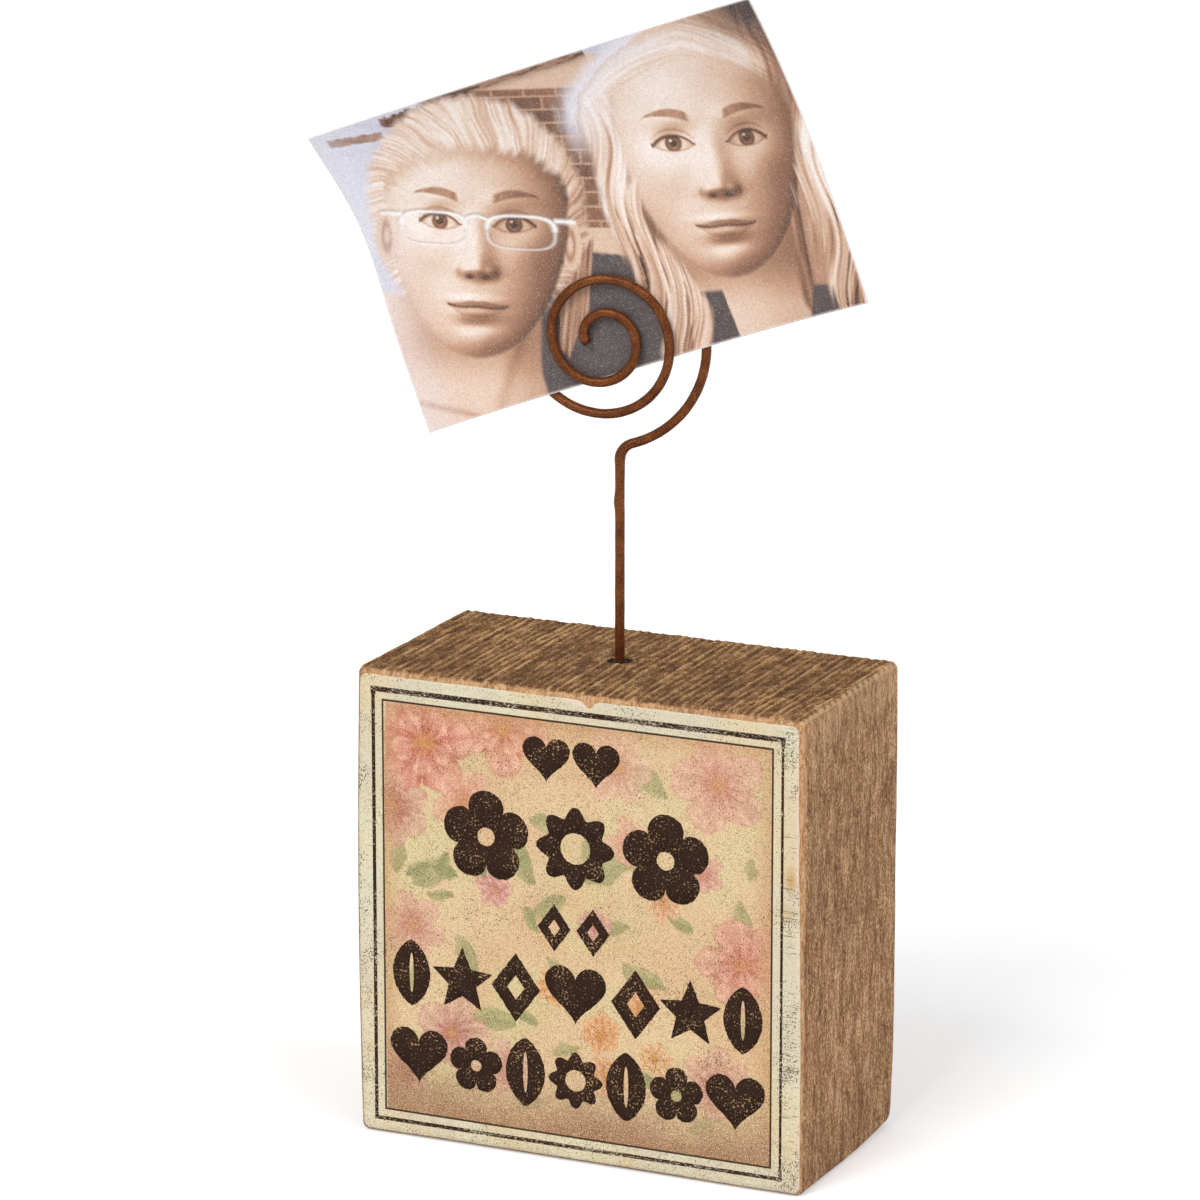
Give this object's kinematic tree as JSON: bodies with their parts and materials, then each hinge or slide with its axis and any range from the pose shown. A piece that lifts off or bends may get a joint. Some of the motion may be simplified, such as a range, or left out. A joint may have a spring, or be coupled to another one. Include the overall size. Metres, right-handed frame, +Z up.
{
  "type": "photo block",
  "caption": "Wooden display block with a glued paper face and a wire stem whose flat spiral grips an upright photo card.",
  "frame": {"origin": "middle of the block's underside", "axes": "+Z up, the paper face looks to -Y, +X to the right as the face is seen"},
  "size_m": [0.0865, 0.0383, 0.1835],
  "materials": {
    "stained_wood": "rough stained wood with bare sanded edges",
    "printed_paper": "aged matt printed paper",
    "varnished_wire": "glossy rust-brown varnished steel wire",
    "dark_glue": "dark set glue",
    "photo_paper": "satin sepia print"
  },
  "bodies": {
    "block": {"wood_block": "stained_wood", "face_label": "printed_paper", "wire_clip": "varnished_wire", "glue_plug": "dark_glue"},
    "card": {"photo_card": "photo_paper"}
  },
  "joints": [
    {"name": "card_slide", "type": "slide", "parent": "block", "child": "card", "axis": [-0.3387, -0.0476, 0.9397], "range_m": [0, 0.025]}
  ]
}
